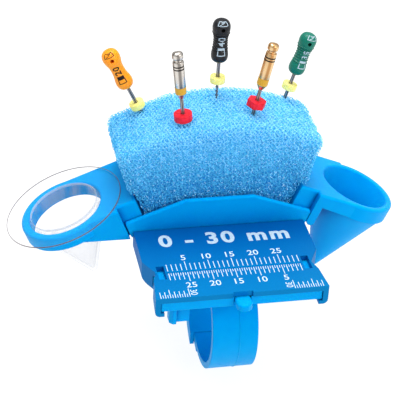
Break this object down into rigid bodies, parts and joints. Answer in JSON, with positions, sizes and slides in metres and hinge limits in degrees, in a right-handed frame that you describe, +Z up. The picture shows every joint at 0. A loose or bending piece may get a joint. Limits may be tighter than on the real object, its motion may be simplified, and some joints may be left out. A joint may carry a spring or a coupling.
{
  "type": "finger-worn endodontic file organiser ring",
  "caption": "Finger ring carrying a sliding millimetre scale, a foam block with endodontic files, a clear gel cup in a round holder and a conical well.",
  "frame": {"origin": "centre of the finger ring, midway along its width", "axes": "+X along the finger ring's axis towards the well arm, +Y from the scale's free edge towards the foam, +Z up out of the scale's face"},
  "size_m": [0.0863, 0.0495, 0.0723],
  "materials": {
    "blue_plastic": "injection moulded, satin gloss",
    "anodised_blue": "anodised satin blue with white print",
    "clear_plastic": "thin clear thermoformed plastic",
    "blue_foam": "open cell foam",
    "orange_plastic": "moulded grip, satin",
    "black_plastic": "moulded grip, satin",
    "green_plastic": "moulded grip, satin",
    "cream_rubber": "soft silicone",
    "red_rubber": "soft silicone",
    "yellow_plastic": "gloss ring",
    "silver_metal": "turned, satin nickel",
    "gold_metal": "turned, satin gold",
    "steel": "ground wire"
  },
  "bodies": {
    "frame": {"main_tray": "blue_plastic", "cup_holder_arm": "blue_plastic", "well_arm": "blue_plastic"},
    "band": {"finger_band": "blue_plastic"},
    "latch": {"scale_latch": "blue_plastic"},
    "scale": {"scale_plate": "anodised_blue"},
    "cup": {"gel_cup": "clear_plastic"},
    "foam": {"foam_block": "blue_foam"},
    "file_a": {"file_a_blade": "steel", "file_a_handle": "orange_plastic"},
    "file_a_stop": {"file_a_stop": "cream_rubber"},
    "file_b": {"file_b_blade": "steel", "file_b_handle": "black_plastic"},
    "file_b_stop": {"file_b_stop": "cream_rubber"},
    "file_c": {"file_c_blade": "steel", "file_c_handle": "green_plastic"},
    "file_c_stop": {"file_c_stop": "cream_rubber"},
    "rotary_a": {"rotary_a_blade": "steel", "rotary_a_shank": "silver_metal", "rotary_a_colour_band": "yellow_plastic"},
    "rotary_a_stop": {"rotary_a_stop": "red_rubber"},
    "rotary_b": {"rotary_b_blade": "steel", "rotary_b_shank": "gold_metal", "rotary_b_colour_band": "yellow_plastic"},
    "rotary_b_stop": {"rotary_b_stop": "red_rubber"}
  },
  "joints": [
    {"name": "band_open", "type": "hinge", "parent": "frame", "child": "band", "pos_m": [0, -0.00902, 0.0088], "axis": [1, 0, 0], "range_deg": [-12, 0]},
    {"name": "latch_press", "type": "hinge", "parent": "frame", "child": "latch", "pos_m": [0, -0.0106, 0.014], "axis": [1, 0, 0], "range_deg": [0, 8], "stiffness_Nm_per_rad": 0.05},
    {"name": "scale_slide", "type": "slide", "parent": "frame", "child": "scale", "axis": [0, -1, 0], "range_m": [0, 0.024]},
    {"name": "cup_lift", "type": "slide", "parent": "frame", "child": "cup", "axis": [-0.3746, 0, 0.9272], "range_m": [0, 0.022]},
    {"name": "foam_lift", "type": "slide", "parent": "frame", "child": "foam", "axis": [0, 0, 1], "range_m": [0, 0.025]},
    {"name": "file_a_pull", "type": "slide", "parent": "foam", "child": "file_a", "axis": [-0.4493, 0, 0.8934], "range_m": [0, 0.02]},
    {"name": "file_a_stop_slide", "type": "slide", "parent": "file_a", "child": "file_a_stop", "axis": [-0.4493, 0, 0.8934], "range_m": [0, 0.0038]},
    {"name": "file_b_pull", "type": "slide", "parent": "foam", "child": "file_b", "axis": [0.014, 0, 0.9999], "range_m": [0, 0.02]},
    {"name": "file_b_stop_slide", "type": "slide", "parent": "file_b", "child": "file_b_stop", "axis": [0.014, 0, 0.9999], "range_m": [-0.003, 0.003]},
    {"name": "file_c_pull", "type": "slide", "parent": "foam", "child": "file_c", "axis": [0.279, 0, 0.9603], "range_m": [0, 0.02]},
    {"name": "file_c_stop_slide", "type": "slide", "parent": "file_c", "child": "file_c_stop", "axis": [0.279, 0, 0.9603], "range_m": [0, 0.0016]},
    {"name": "rotary_a_pull", "type": "slide", "parent": "foam", "child": "rotary_a", "axis": [-0.1236, 0, 0.9923], "range_m": [0, 0.02]},
    {"name": "rotary_a_stop_slide", "type": "slide", "parent": "rotary_a", "child": "rotary_a_stop", "axis": [-0.1236, 0, 0.9923], "range_m": [0, 0.0032]},
    {"name": "rotary_b_pull", "type": "slide", "parent": "foam", "child": "rotary_b", "axis": [0.2011, 0, 0.9796], "range_m": [0, 0.02]},
    {"name": "rotary_b_stop_slide", "type": "slide", "parent": "rotary_b", "child": "rotary_b_stop", "axis": [0.2011, 0, 0.9796], "range_m": [-0.001, 0.0025]}
  ]
}
